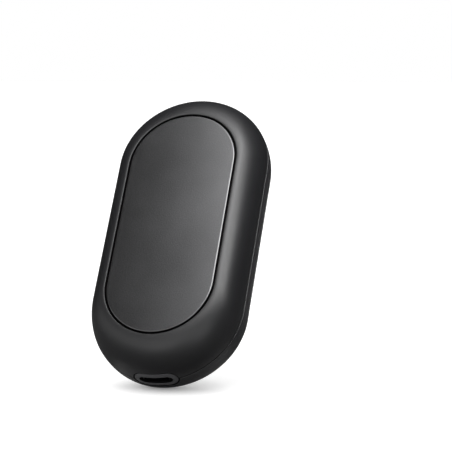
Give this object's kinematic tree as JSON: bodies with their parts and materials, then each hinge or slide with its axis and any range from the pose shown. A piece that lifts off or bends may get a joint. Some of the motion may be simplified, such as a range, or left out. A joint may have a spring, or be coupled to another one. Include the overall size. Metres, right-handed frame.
{
  "type": "rechargeable hand warmer",
  "caption": "Pocket hand warmer: capsule-shaped two-part shell, inlaid metal heating plate, power button with status lights, charging port.",
  "frame": {"origin": "centre of the body's box: halfway along its length, width and thickness, on the seam between the two shells", "axes": "+Z along the length towards the button end, with the charging port at the -Z end; -Y out of the heating plate, +Y out of the button face; +X across the palm"},
  "size_m": [0.05, 0.0232, 0.1019],
  "materials": {
    "shell_plastic": "soft-touch matt black",
    "anodised_aluminium": "bead-blasted, anodised dark grey",
    "tape": "double-sided foam tape",
    "polyimide": "amber film with etched track",
    "foam": "closed-cell foam",
    "chip_epoxy": "moulded epoxy",
    "pouch_foil": "laminated foil",
    "nickel": "nickel strip",
    "circuit_board": "green solder resist",
    "tray_plastic": "moulded",
    "red_insulation": "silicone insulation",
    "black_insulation": "silicone insulation",
    "socket_steel": "stamped, nickel plated",
    "socket_plastic": "moulded",
    "gold_plate": "gold plated",
    "surround_plastic": "moulded, satin",
    "ferrite": "sintered",
    "ceramic": "sintered",
    "connector_nylon": "moulded",
    "screw_steel": "zinc plated",
    "led_resin": "resin lens",
    "smoked_acrylic": "smoked",
    "button_plastic": "fine matt texture"
  },
  "bodies": {
    "housing": {"front_shell": "shell_plastic", "rear_shell": "shell_plastic", "heating_plate": "anodised_aluminium", "plate_tape": "tape", "heater_film": "polyimide", "foam_pad": "foam", "temperature_sensor": "chip_epoxy", "battery_pouch": "pouch_foil", "battery_tabs": "nickel", "protection_board": "circuit_board", "battery_tape": "tape", "battery_tray": "tray_plastic", "red_lead": "red_insulation", "black_lead": "black_insulation", "main_board": "circuit_board", "socket_sleeve": "socket_steel", "socket_tongue": "socket_plastic", "socket_contacts": "gold_plate", "port_surround": "surround_plastic", "charging_chip": "chip_epoxy", "control_chip": "chip_epoxy", "power_coil": "ferrite", "capacitors": "ceramic", "heater_transistor": "chip_epoxy", "film_connector": "connector_nylon", "main_board_screws": "screw_steel", "button_board": "circuit_board", "switch_body": "socket_plastic", "status_leds": "led_resin", "light_pipe": "smoked_acrylic", "button_board_screws": "screw_steel", "board_ribbon": "connector_nylon", "case_screws": "screw_steel"},
    "button": {"power_button": "button_plastic"},
    "plunger": {"switch_plunger": "connector_nylon"}
  },
  "joints": [
    {"name": "button_press", "type": "slide", "parent": "housing", "child": "button", "axis": [0, -1, 0], "range_m": [0, 0.0003], "stiffness_N_per_m": 7000},
    {"name": "plunger_press", "type": "slide", "parent": "housing", "child": "plunger", "axis": [0, -1, 0], "range_m": [0, 0.0003]}
  ],
  "couplings": [
    {"joint": "plunger_press", "follows": "button_press", "ratio": 1}
  ]
}
